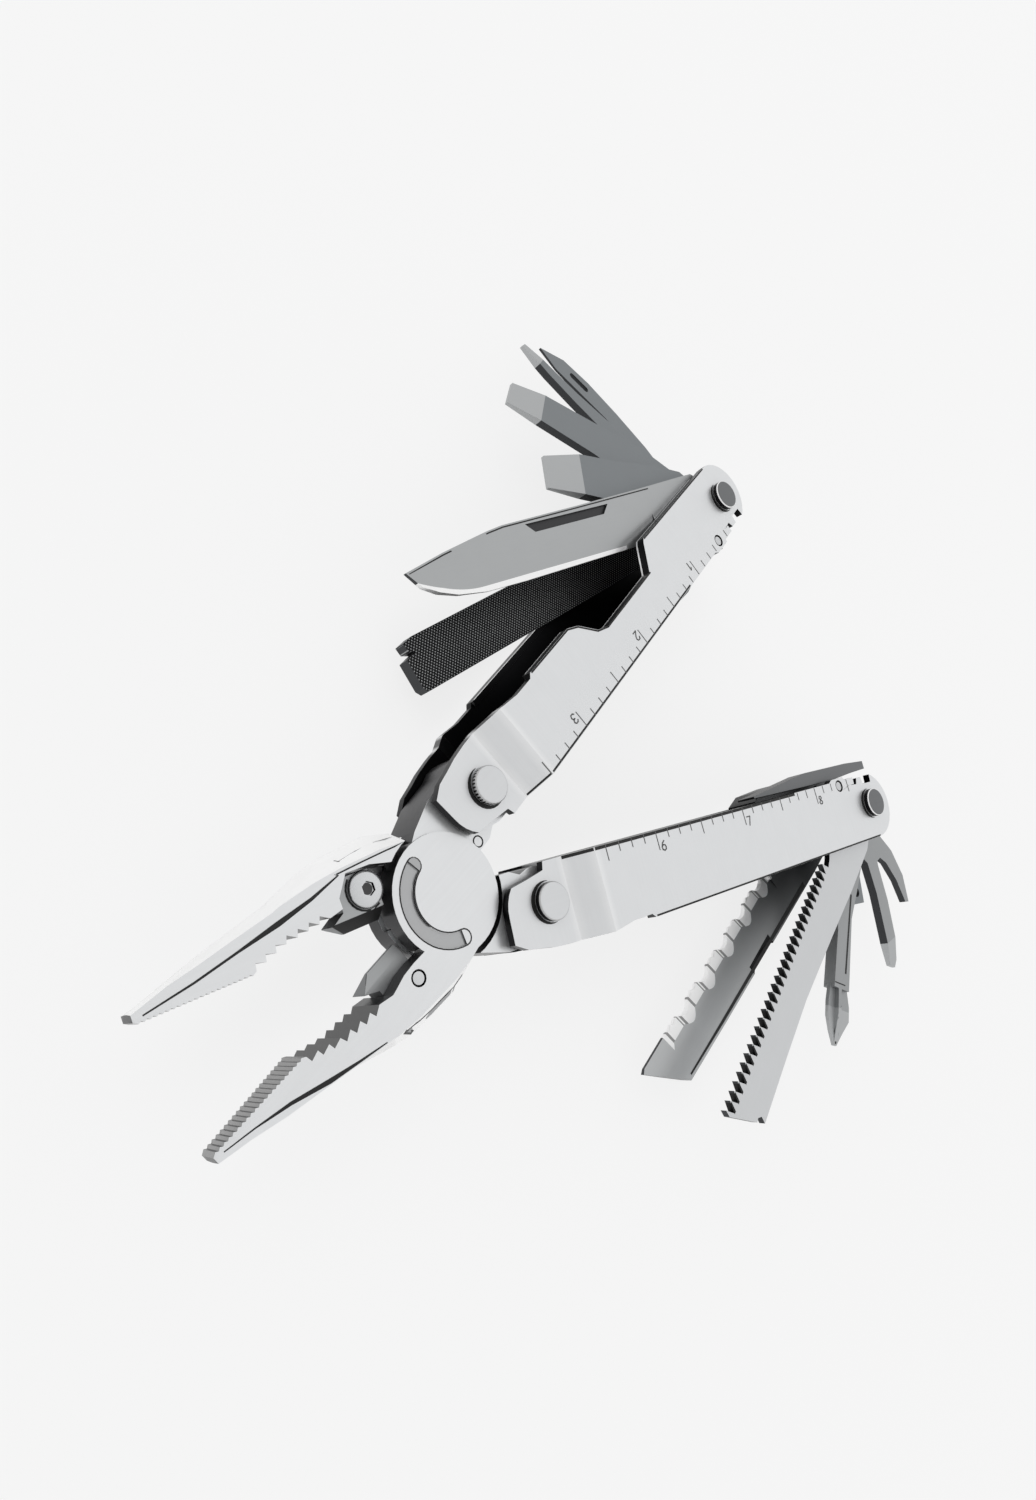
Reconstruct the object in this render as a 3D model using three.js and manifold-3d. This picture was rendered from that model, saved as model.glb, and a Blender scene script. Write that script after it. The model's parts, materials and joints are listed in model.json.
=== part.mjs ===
// Folding pocket multi tool: a plier head whose two halves turn on one rivet, and two folding
// handles of bent sheet that each carry a fan of blades and drivers on a pin at the far end.
//
// Millimetres, +Z up. The tool lies flat: every pivot axis is along Z. The origin is on the
// plier head's rivet, at the back face of the head. +X runs along the head's centre line
// towards the handles, and the jaws point along -X.
//
// The head and the handles are two equal halves. The second is the first turned over, half a
// turn about the X axis, so one half is described and placed twice. Only the tools differ.

import * as THREE from 'three';
import Module from 'manifold-3d';
import { mergeVertices } from 'three/addons/utils/BufferGeometryUtils.js';

// ---------------------------------------------------------------- driving dimensions

const GAP = 0.3; // running gap between neighbours
const SEGMENTS = 28; // sides of a round part

// plier head, measured in the closed position
const HEAD_HALF = 4.3; // half thickness of the head
const DISC_R = 9.6; // round boss at the rivet
const LAP_R = 10.6; // the other half's full-thickness metal starts outside this radius
const RIVET_R = 3;
const JAW_LENGTH = 47.3;
const JAW_TIP_HALF = 2; // half thickness at the tip
const JAW_TAPER_START = 16;
const GRIP = 0.12; // each jaw's distance from the closing plane
const HEAD_PIN_REACH = 18.5; // rivet to head pin
const HEAD_PIN_ANGLE = 24.1; // of the head pin from the grip line
const FRONT_OPEN = 12.5; // each jaw's angle from the centre line at rest
const REAR_OPEN = 10;
const CUTTER_SCREW = [-12.4, -5.2]; // where the cutter's screw crosses the jaw
const CUTTER_SCREW_R = 1;

// handle, measured from its head pin: u along the handle, w towards its open side
const SPLAY = 16.6; // angle of each handle from the centre line at rest
const PIN_SPAN = 95.3; // head pin to tool pin
const WALL = 1.5; // sheet thickness
const BODY_HALF = 9.5; // half width over the handle's main walls
const NECK_HALF = 6.1; // half width over its narrow end
const NECK_END = 4.6; // the walls step outwards between these two
const BODY_START = 9.4;
const SPINE = 6.6; // pin line to the outside of the spine
const OPEN_EDGE = 7.6; // pin line to the open edge
const LIP = 0.6; // how far the open edge is turned inwards past the wall
const LIP_START = 19.4;
const HEAD_PIN_R = 2.4;
const HEAD_PIN_HEAD_R = 3.2;
const TOOL_PIN_R = 2.2;
const TOOL_PIN_HEAD_R = 3.1;
const PIN_HEAD = 1.2; // height of a pin's head

// tool stack, heights from the middle of the handle
const TANG_R = 4.6; // round end of a tool about the tool pin
const LOCK_PIN_U = 85; // cross pin that the lock rocker turns on
const LOCK_PIN_W = -5.5;
const LOCK_PIN_R = 1;

// ---------------------------------------------------------------- materials

const metal = (color, roughness) => new THREE.MeshStandardMaterial({ color, roughness, metalness: 1 });
const satinSteel = metal(0xc9cbcd, 0.32);
const brightSteel = metal(0xd6d8da, 0.2);
const blastedSteel = metal(0x8b8f92, 0.5);
const bladeSteel = metal(0xa9abad, 0.4);
const fileSteel = metal(0x3a3d40, 0.6);

// ---------------------------------------------------------------- solids

const wasm = await Module();
wasm.setup();

const radians = THREE.MathUtils.degToRad;

function solidOf(geometry) {
  geometry.deleteAttribute('normal');
  geometry.deleteAttribute('uv');
  const merged = mergeVertices(geometry, 1e-4);
  const vertProperties = new Float32Array(merged.attributes.position.array);
  const triVerts = new Uint32Array(merged.index.array);
  return new wasm.Manifold(new wasm.Mesh({ numProp: 3, vertProperties, triVerts }));
}

function geometryOf(solid) {
  const { vertProperties, triVerts } = solid.getMesh();
  const geometry = new THREE.BufferGeometry();
  geometry.setAttribute('position', new THREE.BufferAttribute(vertProperties, 3));
  geometry.setIndex(new THREE.BufferAttribute(triVerts, 1));
  geometry.computeVertexNormals();
  return geometry;
}

function mesh(name, solid, material) {
  const made = new THREE.Mesh(geometryOf(solid), material);
  made.name = name;
  return made;
}

const shapeOf = (outline) => new THREE.Shape(outline.map(([x, y]) => new THREE.Vector2(x, y)));

// outline in the XY plane, from height z0 to z1
function plate(outline, z0, z1) {
  const geometry = new THREE.ExtrudeGeometry(shapeOf(outline), { depth: z1 - z0, bevelEnabled: false });
  return solidOf(geometry.translate(0, 0, z0));
}

// Solid skinned over outlines of equal length, each at its own height, lowest first. The
// outlines run clockwise.
function loft(sections) {
  const count = sections[0][1].length;
  const points = sections.flatMap(([z, outline]) => outline.map(([x, y]) => [x, y, z]));
  const cap = THREE.ShapeUtils.triangulateShape(
    sections[0][1].map(([x, y]) => new THREE.Vector2(x, y)),
    [],
  );
  const top = (sections.length - 1) * count;
  const faces = cap.map(([a, b, c]) => [c, b, a]);
  cap.forEach(([a, b, c]) => faces.push([a + top, b + top, c + top]));
  for (let level = 0; level < top; level += count) {
    for (let i = 0; i < count; i += 1) {
      const [a, b] = [level + i, level + (i + 1) % count];
      faces.push([b, a, a + count], [b, a + count, b + count]);
    }
  }
  const vertProperties = new Float32Array(points.flat());
  const triVerts = new Uint32Array(faces.flat());
  return new wasm.Manifold(new wasm.Mesh({ numProp: 3, vertProperties, triVerts }));
}

// outline of (x, z) points, carried along Y from y0 to y1
function sideProfile(outline, y0, y1) {
  const geometry = new THREE.ExtrudeGeometry(shapeOf(outline), { depth: y1 - y0, bevelEnabled: false });
  return solidOf(geometry.rotateX(Math.PI / 2).translate(0, y1, 0));
}

// outline of (y, z) points, carried along X from x0 to x1
function crossSection(outline, x0, x1) {
  const geometry = new THREE.ExtrudeGeometry(shapeOf(outline), { depth: x1 - x0, bevelEnabled: false });
  geometry.rotateY(Math.PI / 2).rotateX(Math.PI / 2);
  return solidOf(geometry.translate(x0, 0, 0));
}

function round(radius, z0, z1, x = 0, y = 0, sides = SEGMENTS) {
  const geometry = new THREE.CylinderGeometry(radius, radius, z1 - z0, sides);
  return solidOf(geometry.rotateX(Math.PI / 2).translate(x, y, (z0 + z1) / 2));
}

// a turned pin along Z: (radius, z) points from the axis round to the axis
function turned(profile, x = 0, y = 0) {
  const points = profile.map(([r, z]) => new THREE.Vector2(r, z));
  const geometry = new THREE.LatheGeometry(points, SEGMENTS);
  return solidOf(geometry.rotateX(Math.PI / 2).translate(x, y, 0));
}

const block = (x0, x1, y0, y1, z0, z1) => solidOf(
  new THREE.BoxGeometry(x1 - x0, y1 - y0, z1 - z0).translate((x0 + x1) / 2, (y0 + y1) / 2, (z0 + z1) / 2),
);

// points on an arc, angles in degrees
function arc(x, y, radius, from, to, steps) {
  return Array.from({ length: steps + 1 }, (_, i) => {
    const angle = radians(from + (to - from) * i / steps);
    return [x + radius * Math.cos(angle), y + radius * Math.sin(angle)];
  });
}

// saw-tooth points from a to b, each tooth cut by depth to the left of the way
function teeth([ax, ay], [bx, by], count, depth, lean = 0.5) {
  const [dx, dy] = [(bx - ax) / count, (by - ay) / count];
  const step = Math.hypot(dx, dy);
  const points = [];
  for (let i = 0; i < count; i += 1) {
    points.push([ax + dx * i, ay + dy * i]);
    const at = i + lean;
    points.push([ax + dx * at - dy / step * depth, ay + dy * at + dx / step * depth]);
  }
  return points;
}

// ---------------------------------------------------------------- plier head

const headPin = [
  HEAD_PIN_REACH * Math.cos(radians(HEAD_PIN_ANGLE)),
  HEAD_PIN_REACH * Math.sin(radians(HEAD_PIN_ANGLE)),
];

// The front half, jaws closed: its jaw is below the centre line and its tang is above it.
// Grip line from the tip: fine serrations, a hollow with coarse teeth, then the cutter's seat.
function gripLine() {
  return [
    ...teeth([-JAW_LENGTH + 0.6, -GRIP], [-31.9, -GRIP], 20, -0.28),
    [-31.9, -GRIP],
    ...teeth([-31.3, -0.5], [-26.4, -2.3], 3, -0.9, 0.3),
    ...teeth([-26.4, -2.3], [-19.4, -3.3], 4, -1, 0.3),
    [-19.4, -3.3], [-17, -3.9], [-13.9, -3.2], [-11.5, -3.1], [-6, -3.4],
  ];
}

// The back of the jaw is crowned: its ridge stands out further than the edges of its faces.
const JAW_RIDGE = [
  [-1.2, -9.5], [-4, -11.6], [-8.3, -12.5], [-16.4, -11.6], [-20, -10.6], [-26.2, -8], [-37.3, -4.9],
  [-JAW_LENGTH, -1.6], [-JAW_LENGTH, -0.5],
];
const JAW_FACE_EDGE = [
  [-1.2, -9.4], [-4, -9.8], [-8.3, -9.9], [-15.8, -9.3], [-20.4, -8.4], [-27, -6.6], [-38.2, -3.6],
  [-JAW_LENGTH, -1.3], [-JAW_LENGTH, -0.5],
];

function tangOutline() {
  const [px, py] = headPin;
  return [
    [0, 9], [2.5, 10.4], [7.6, 12.3],
    ...arc(px, py, 6.2, 118, -112, 14),
    [12.6, 0.7], [9.4, 0.5], [2, 0.5],
  ];
}

function plierHalf(pivotHole) {
  const taper = sideProfile([
    [-JAW_LENGTH - 1, -JAW_TIP_HALF], [-JAW_TAPER_START, -HEAD_HALF], [0, -HEAD_HALF],
    [0, HEAD_HALF], [-JAW_TAPER_START, HEAD_HALF], [-JAW_LENGTH - 1, JAW_TIP_HALF],
  ], -14, 2);
  const tangHalf = HEAD_HALF - GAP;
  const face = [...gripLine(), ...JAW_FACE_EDGE];
  const ridge = [...gripLine(), ...JAW_RIDGE];
  const jaw = loft([[-HEAD_HALF, face], [-0.5, ridge], [0.5, ridge], [HEAD_HALF, face]]).intersect(taper);
  const tang = plate(tangOutline(), -tangHalf, tangHalf);
  const backOfLap = round(LAP_R, -HEAD_HALF - 1, GAP / 2, 0, 0, 40);
  const disc = round(DISC_R, GAP / 2, HEAD_HALF, 0, 0, 44);
  const cutterSeat = plate([
    ...insertOutline(GAP + 0.1).slice(0, 5), [-5, -7], [-5, 2], [-20, 2],
  ], -HEAD_HALF - 1, 1.2);
  const slot = plate([
    ...arc(0, 0, 8.2, 102, 250, 18), ...arc(0, 0, 5.9, 250, 102, 18),
  ], HEAD_HALF - 0.35, HEAD_HALF + 1);
  return jaw.add(tang).subtract(backOfLap).add(disc)
    .subtract(cutterSeat)
    .subtract(slot)
    .subtract(pivotHole)
    .subtract(round(HEAD_PIN_R + GAP, -9, 9, ...headPin))
    .subtract(round(CUTTER_SCREW_R + GAP, -9, 9, ...CUTTER_SCREW, 16));
}

// hard cutter that sits in the jaw, with its edge ground from both sides
function insertOutline(grow) {
  const back = -8 - grow;
  const left = -16.8 - grow;
  return [
    [-19 - grow, -1.9 - grow], [left, -3.2 - grow], [left, -5.4], [-14.9 - grow / 2, back],
    [-11, back], [-10.2 + grow, -7], [-10.2 + grow, -GRIP],
  ];
}

function cutterInsert() {
  const plan = plate([...insertOutline(0), [-16.4, -GRIP]], -3.1, 0.9);
  const ground = crossSection([
    [-9, -3.1], [-2.1, -3.1], [-GRIP, -0.3], [-GRIP, 0.3], [-1.6, 0.9], [-9, 0.9],
  ], -21, -9);
  return plan.intersect(ground)
    .subtract(round(CUTTER_SCREW_R + GAP, -9, 9, ...CUTTER_SCREW, 16));
}

// button head on the far side of the insert, shank end flush with the jaw's face
function cutterScrew() {
  const socket = round(1.1, -6, -3.8, ...CUTTER_SCREW, 6);
  const screw = turned([
    [0, -4.4], [1.3, -4.37], [2.2, -4.15], [2.7, -3.75], [2.85, -3.4],
    [CUTTER_SCREW_R, -3.4], [CUTTER_SCREW_R, 4.25], [0, 4.25],
  ], ...CUTTER_SCREW);
  return screw.subtract(socket);
}

// ---------------------------------------------------------------- handle

// Outline of a wall seen from the side, narrow end first along the open edge.
// One wall of each handle is cut back so that a thumbnail reaches the blade beside it.
function wallOutline(cutBack) {
  const thumbCut = [
    [32.8, OPEN_EDGE], [35.4, 6.4], [38.8, 3], [41.5, 2], [60.2, 2.2], [64.2, 7], [65, OPEN_EDGE],
  ];
  return [
    [-6.5, 6.2], [-3.9, 6.6], [-1.3, 7.1], [2, 7.4], [BODY_START, OPEN_EDGE], [14.2, 6.9], [18.6, 6.9],
    [LIP_START, OPEN_EDGE],
    ...(cutBack ? thumbCut : []),
    ...arc(PIN_SPAN, 0.4, 7.2, 90, -60, 12),
    // notch and cut-outs over the lock rocker
    [97.9, -6.3], [97.7, -4.6], [94.4, -4.6], [94.2, -6.2], [92.4, -6.2], [91.8, -4.9], [88.2, -5.2],
    [87.2, -7.2], [82.6, -7.2], [81.6, -SPINE], [80.6, -5.3], [68.8, -5.3], [68, -SPINE],
    [4.4, -SPINE], [0.6, -SPINE], [0.2, -5.2], [-3.4, -4.4],
    ...arc(-1.9, 0.8, 6.8, 222, 180, 4), [-8.9, 4.9],
  ];
}

// (u, z) outline of one wall's sheet with its outward step, on the +Z side
function steppedSheet(out, inset) {
  const neck = NECK_HALF - out;
  const body = BODY_HALF - out;
  return [
    [-12, neck], [NECK_END, neck], [BODY_START, body], [106, body],
    [106, body - inset], [BODY_START + 0.6, body - inset],
    [NECK_END + 0.6, neck - inset], [-12, neck - inset],
  ];
}

function mirroredZ(outline) {
  return outline.map(([u, z]) => [u, -z]).reverse();
}

// spine web between the walls, following their step
function spineWeb() {
  const half = [[NECK_END, NECK_HALF], [BODY_START, BODY_HALF], [91, BODY_HALF]];
  return sideProfile([...half, ...mirroredZ(half)], -SPINE, -SPINE + WALL);
}

// strip along the open edge, turned in by LIP, cut to follow the wall's outline
function lipSolid(cutBack) {
  const edge = wallOutline(cutBack);
  const inner = wallOutline(cutBack).map(([u, w]) => [u, w - 1.1]);
  const band = plate(edge, BODY_HALF - WALL - LIP, BODY_HALF - 0.5)
    .subtract(plate(inner, 0, BODY_HALF + 1));
  return band.intersect(block(LIP_START, 92, 0.5, 9, 0, BODY_HALF));
}

function handleBody() {
  const sheet = steppedSheet(0, WALL);
  const near = plate(wallOutline(true), 0, 12).intersect(sideProfile(sheet, -12, 12));
  const far = plate(wallOutline(false), -12, 0).intersect(sideProfile(mirroredZ(sheet), -12, 12));
  const farLip = lipSolid(false).mirror([0, 0, 1]);
  const rockerSlot = block(54, 96, -9, -4, -3.95, 3.95);
  return near.add(far).add(spineWeb()).add(lipSolid(true)).add(farLip)
    .subtract(rockerSlot)
    .subtract(round(HEAD_PIN_R + GAP, -14, 14))
    .subtract(round(TOOL_PIN_R + GAP, -14, 14, PIN_SPAN, 0))
    .subtract(round(LOCK_PIN_R + GAP, -14, 14, LOCK_PIN_U, LOCK_PIN_W, 16));
}

// pin with a flat head at both ends, outside the walls
function headedPin(shankR, headR, halfWidth, x) {
  const top = halfWidth + GAP + PIN_HEAD;
  const ease = 0.25;
  const under = halfWidth + GAP;
  return turned([
    [0, -top], [headR - ease, -top], [headR, -top + ease], [headR, -under], [shankR, -under],
    [shankR, under], [headR, under], [headR, top - ease], [headR - ease, top], [0, top],
  ], x, 0);
}

// rocker that locks an opened tool: foot over the tangs, thumb pad at the other end, and a
// wing over the spine on one side
function lockRocker() {
  const outline = [
    [62.6, -5.9], [62.6, -6.9], [66, -8.7], [74, -9.3], [79, -8.6], [88, -8.7], [93.2, -9.8], [93.8, -9.2],
    [92.6, -5.2], [90.4, -4.95], [88, -4.95], [86.4, -4.4], [83.6, -4.4], [82, -5.9],
  ];
  const sideWing = plate([
    [57.6, -7.6], [57.6, -8], [77, -10.1], [93, -10], [100.4, -9.6], [100.4, -7.8], [94, -7.6], [86, -7.1],
  ], -7.4, -3.2);
  return plate(outline, -3.6, 3.6).add(sideWing)
    .subtract(round(LOCK_PIN_R + GAP, -9, 9, LOCK_PIN_U, LOCK_PIN_W, 16));
}

const lockPin = () => round(LOCK_PIN_R, -BODY_HALF + 0.1, BODY_HALF - 0.1, LOCK_PIN_U, LOCK_PIN_W, 16);

// leaf under the rocker's thumb pad, held at its far end in the spine's slot
const lockSpring = () => plate([
  [54.4, -4.95], [79, -4.95], [79, -4.6], [56, -4.6], [54.4, -4.75],
], -2.8, 2.8);

const washer = (z0, z1) => round(4.3, z0, z1).subtract(round(TOOL_PIN_R + GAP, z0 - 1, z1 + 1));

// ---------------------------------------------------------------- tools
// Each is drawn from its pin along +X to its tip, with its cutting edge on the +Y side, so
// that folded away the edge lies along the spine. z0 and z1 are its place in the stack.

function withTang(body, z0, z1) {
  return body.add(round(TANG_R, z0, z1)).subtract(round(TOOL_PIN_R + GAP, -14, 14));
}

// clip-point knife: flat-ground from its middle to the edge, with a nail slot at the back
function knifeBlade(z0, z1) {
  const outline = [
    [0, -4.4], [4, -7.2], [8, -7.1], [24, -6.5], [43, -6], [63.3, -5.6], [66.9, -5.2],
    [78, -3.5], [86.6, -1.8],
    [84.6, 1.1], [81.8, 2.7], [78, 3.9], [71.6, 4.7], [61.7, 4.8], [33, 4.5],
    [24, 4.4], [23.4, 2.8], [20.6, 2.8], [18.6, 4.4], [0, 4.4],
  ];
  const mid = (z0 + z1) / 2;
  const ground = crossSection([
    [-9, z0], [-1, z0], [3.9, mid - 0.35], [5, mid - 0.1],
    [5, mid + 0.1], [3.9, mid + 0.35], [-1, z1], [-9, z1],
  ], 22, 90).add(block(-9, 22.05, -9, 9, z0, z1));
  const towardsPoint = sideProfile([
    [-10, z0], [70, z0], [87, mid - 0.3], [87, mid + 0.3], [70, z1], [-10, z1],
  ], -9, 9);
  const nick = plate([[34, -5], [36.2, -3.2], [56, -3], [57.8, -4.8]], z1 - 0.5, z1 + 1);
  return withTang(plate(outline, z0, z1).intersect(ground).intersect(towardsPoint).subtract(nick), z0, z1);
}

// blunt-nosed blade with scallops along its edge
function serratedBlade(z0, z1) {
  const scallops = [];
  for (let x = 66.1; x > 28; x -= 9.1) {
    scallops.push(...arc(x + 5.9, 5, 0.9, -35, -145, 2), ...arc(x + 4, 5, 0.9, -35, -145, 2));
    scallops.push(...arc(x, 5.5, 2.5, -28, -152, 5));
  }
  const outline = [
    [0, -4.4], [4, -7], [12, -7.1], [37, -6.4], [60, -5.7], [75.4, -5.1], [82.4, 4], [81.5, 4.5],
    ...scallops, [25, 2.6], [20, 4.4], [0, 4.4],
  ];
  const mid = (z0 + z1) / 2;
  const ground = crossSection([
    [-9, z0], [-0.5, z0], [4.8, mid - 0.25], [4.8, mid + 0.25], [-0.5, z1], [-9, z1],
  ], 26, 90).add(block(-9, 26.05, -9, 9, z0, z1));
  const nick = plate([
    [36.8, -7], [36.8, -6.2], [38.6, -4.9], [41.2, -4.3], [44, -4.8], [46.3, -6], [46.3, -7],
  ], z0 - 1, z0 + 0.7);
  return withTang(plate(outline, z0, z1).intersect(ground).subtract(nick), z0, z1);
}

// wood saw: pointed teeth along the edge and a square nose
function saw(z0, z1) {
  const outline = [
    [0, -4.4], [8, -6.4], [20, -6.2], [34, -5.3], [51, -4.5], [65, -4.8], [77.6, -5.2],
    [77.1, -3.9], [77.8, -3.2], [78.6, -3.4], [82, 3.2],
    ...teeth([81.6, 4.5], [20.6, 4.5], 31, 2, 0.42), [20, 3], [17, 4.4], [0, 4.4],
  ];
  return withTang(plate(outline, z0, z1), z0, z1);
}

// flat file with a notch in its nose
function file(z0, z1) {
  const outline = [
    [0, -4.4], [12, -5], [62.8, -5.4], [82.6, -5.5], [85, -5], [84.8, -3.4], [83.4, -2.8], [86, -2.2],
    [86, 3.2], [85.3, 4.2], [30, 4.6], [20, 4.4], [0, 4.4],
  ];
  return withTang(plate(outline, z0, z1), z0, z1);
}

// flat driver of the given outline, its last stretch ground to a thin tip
function flatDriver(outline, length, grind, z0, z1) {
  const mid = (z0 + z1) / 2;
  const taper = sideProfile([
    [-9, z0], [length - grind, z0], [length, mid - 0.4], [length, mid + 0.4], [length - grind, z1], [-9, z1],
  ], -14, 14);
  return withTang(plate(outline, z0, z1).intersect(taper), z0, z1);
}

const largeOutline = [
  [0, -4.4], [6, -7.4], [14, -7.1], [27, -5.3], [36, -4.6],
  [45.2, -2.5], [45.2, 4.3], [30, 4], [18, 4.1], [0, 4.2],
];
const mediumOutline = [
  [0, -4.4], [7, -6.6], [16, -6.8], [30, -5], [44, -3.1],
  [51.8, -1.2], [52.1, 4.1], [44, 3.5], [30, 2.8], [0, 4.2],
];
const smallOutline = [
  [0, -4.4], [8, -4], [20.3, -1.9], [28.6, -0.3], [36.6, 1.4], [43.3, 2.4], [51.6, 3.4],
  [51.8, 4.5], [44, 4.5], [36, 3.9], [26, 2.8], [18, 3.2], [0, 4.2],
];
const stubbyOutline = [
  [0, -4.4], [4, -7.2], [11, -9], [16, -9.4], [25.2, -7.6], [33.7, -4.8], [38.1, -2.6],
  [39.4, -1], [38.2, 0.6], [32.4, -1.3], [22.2, -4.3], [15, -5.4], [8, -1], [0, 4.2],
];

// awl: a thin wedge with an eye for thread near its point
function awl(z0, z1) {
  const outline = [
    [0, -4.4], [8, -6.6], [17, -6.9], [27, -6.2], [36.2, -5.1], [43.3, -3.4],
    [48.6, 0.2], [43.2, 0.6], [36.6, -0.6], [28.4, -2.1], [20.8, -2.6], [12, 1], [0, 4.2],
  ];
  const eye = plate([...arc(39.8, -2.3, 0.6, -80, 100, 5), ...arc(35.6, -3.1, 0.6, 100, 280, 5)], -9, 9);
  const ground = crossSection([[-9, z0], [-4.4, z0], [0.8, z1 - 0.5], [0.8, z1], [-9, z1]], 24, 60)
    .add(block(-9, 24.05, -9, 9, z0, z1));
  return withTang(plate(outline, z0, z1).intersect(ground).subtract(eye), z0, z1);
}

// cross-point driver: a flat shank that ends in a four-winged point
function crossDriver(z0, z1) {
  const mid = (z0 + z1) / 2;
  const shank = plate([
    [0, -4.4], [8, -5.4], [16, -3.8], [26, -1.2], [42, -0.6], [42, 4.4], [30, 3.6], [16, 4], [0, 4.2],
  ], z0, z1);
  const wing = [
    [41, -1], [45, -2], [48, -2], [51, 0.3], [53.6, 2.1],
    [53.6, 2.7], [51, 4], [48, 5], [45, 5], [41, 4.4],
  ];
  const flatWing = plate(wing, mid - 0.4, mid + 0.4);
  const uprightWing = sideProfile([
    [41, z0], [47, z0], [53.6, mid - 0.3], [53.6, mid + 0.3], [47, z1], [41, z1],
  ], 1.9, 2.9);
  return withTang(shank.add(flatWing).add(uprightWing), z0, z1);
}

// hook of a can and bottle opener
function openerHook(z0, z1) {
  const outline = [
    [0, -4.4], [8, -7.2], [18, -8.2], [26, -7], [32, -3.6], [36, 1.6], [34.8, 2.4], [30, -0.8], [25, -2.6],
    [22.4, -2.4], [21.6, -0.9], [22.6, 0.8], [21, 2], [17, 3.2], [0, 4.2],
  ];
  return withTang(plate(outline, z0, z1), z0, z1);
}

// eye for a lanyard, the shortest arm of the stack
function lanyardEye(z0, z1) {
  const arm = plate([
    [0, -4.4], [8, -4.6], [13, -2.4], [16, -2.2], [21.6, -1.6], [21.6, 2.6], [14, 2.8], [0, 4.2],
  ], z0, z1);
  return withTang(arm.subtract(round(1.1, -9, 9, 19, 0.5, 14)), z0, z1);
}

// name, shape, opening angle from folded, heights in the stack, material
const knifeHandleTools = [
  ['knife_blade', knifeBlade, 21.3, 4.5, 7.1, bladeSteel],
  ['large_screwdriver', (a, b) => flatDriver(largeOutline, 45.2, 9, a, b), 41.6, 2, 4.2, blastedSteel],
  ['medium_screwdriver', (a, b) => flatDriver(mediumOutline, 52.1, 8, a, b), 61.6, -0.2, 1.7, blastedSteel],
  ['small_screwdriver', (a, b) => flatDriver(smallOutline, 51.8, 5, a, b), 82.5, -2.3, -0.5, blastedSteel],
  ['awl', awl, 85, -4.2, -2.6, blastedSteel],
  ['file', file, 13.1, -7.1, -4.5, fileSteel],
];
const sawHandleTools = [
  ['serrated_blade', serratedBlade, 28.3, 4.5, 7.1, bladeSteel],
  ['can_opener', openerHook, 134.6, 2.6, 4.2, blastedSteel],
  ['stubby_screwdriver', (a, b) => flatDriver(stubbyOutline, 39.4, 6, a, b), 99, 0.3, 2.3, blastedSteel],
  ['lanyard_eye', lanyardEye, 83.6, -1.2, 0, blastedSteel],
  ['cross_screwdriver', crossDriver, 60, -4.2, -1.5, blastedSteel],
  ['saw', saw, 35.1, -7.1, -5.8, bladeSteel],
];

// ---------------------------------------------------------------- assembly

// One half of the object: plier half, folding handle, and the handle's tools.
function buildHalf(label, open, tools, pivotHole, washers) {
  const half = new THREE.Group();
  const head = new THREE.Group();
  head.rotation.z = radians(open);
  head.add(
    mesh(`${label}_jaw`, plierHalf(pivotHole), brightSteel),
    mesh(`${label}_cutter`, cutterInsert(), blastedSteel),
    mesh(`${label}_cutter_screw`, cutterScrew(), satinSteel),
  );

  const handle = new THREE.Group();
  const at = radians(HEAD_PIN_ANGLE + open);
  handle.position.set(HEAD_PIN_REACH * Math.cos(at), HEAD_PIN_REACH * Math.sin(at), 0);
  handle.rotation.z = radians(SPLAY);
  handle.add(
    mesh(`${label}_handle`, handleBody(), satinSteel),
    mesh(`${label}_head_pin`, headedPin(HEAD_PIN_R, HEAD_PIN_HEAD_R, NECK_HALF, 0), satinSteel),
    mesh(`${label}_tool_pin`, headedPin(TOOL_PIN_R, TOOL_PIN_HEAD_R, BODY_HALF, PIN_SPAN), blastedSteel),
    mesh(`${label}_lock_rocker`, lockRocker(), satinSteel),
    mesh(`${label}_lock_pin`, lockPin(), satinSteel),
    mesh(`${label}_lock_spring`, lockSpring(), satinSteel),
  );
  washers.forEach(([z0, z1], i) => {
    const ring = mesh(`${label}_washer_${i + 1}`, washer(z0, z1), satinSteel);
    ring.position.x = PIN_SPAN;
    handle.add(ring);
  });
  tools.forEach(([name, shape, opening, z0, z1, material]) => {
    const tool = mesh(name, shape(z0, z1), material);
    tool.position.x = PIN_SPAN;
    tool.rotation.z = radians(180 - opening);
    handle.add(tool);
  });

  half.add(head, handle);
  return half;
}

const blindHole = round(RIVET_R + GAP, -9, 2.9);
const throughHole = round(RIVET_R + GAP, -9, 9);
const front = buildHalf('front', FRONT_OPEN, knifeHandleTools, blindHole, [[7.3, 7.75], [-7.75, -7.3]]);
const rearWashers = [[7.3, 7.75], [-5.5, -4.7], [-7.75, -7.3]];
const rear = buildHalf('rear', REAR_OPEN, sawHandleTools, throughHole, rearWashers);
rear.rotation.x = Math.PI;

const rivet = mesh('pivot_rivet', round(RIVET_R, -HEAD_HALF, 2.6), satinSteel);

const group = new THREE.Group();
group.add(front, rear, rivet);
group.position.z = HEAD_HALF;
group.updateMatrixWorld(true);

export default group;
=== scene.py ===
"""Looks of a folding multi tool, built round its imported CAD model."""

import json
import math

import bpy
from mathutils import Matrix, Vector
from mathutils.bvhtree import BVHTree


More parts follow.
